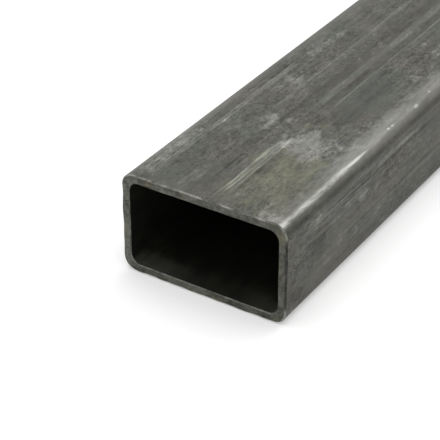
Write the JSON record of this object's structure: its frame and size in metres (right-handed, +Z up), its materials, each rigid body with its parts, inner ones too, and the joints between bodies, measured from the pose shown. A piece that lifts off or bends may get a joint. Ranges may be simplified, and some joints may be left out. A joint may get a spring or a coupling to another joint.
{
  "type": "rectangular steel tube",
  "caption": "Length of rectangular hollow steel section with rolled corners, an open bore and square sawn ends, in dull grey mill finish, for frames and supports.",
  "frame": {"origin": "on the floor under the middle of the length, at the centre of the lower wide wall's outer face", "axes": "+X along the length, +Y across the section's width, +Z up from the lower wide wall to the upper one"},
  "size_m": [1, 0.1, 0.06],
  "materials": {
    "mill_steel": "dull grey rolling skin with lengthwise streaks, bright worn corners and filed arrises"
  },
  "bodies": {
    "root": {"tube": "mill_steel"}
  },
  "joints": []
}
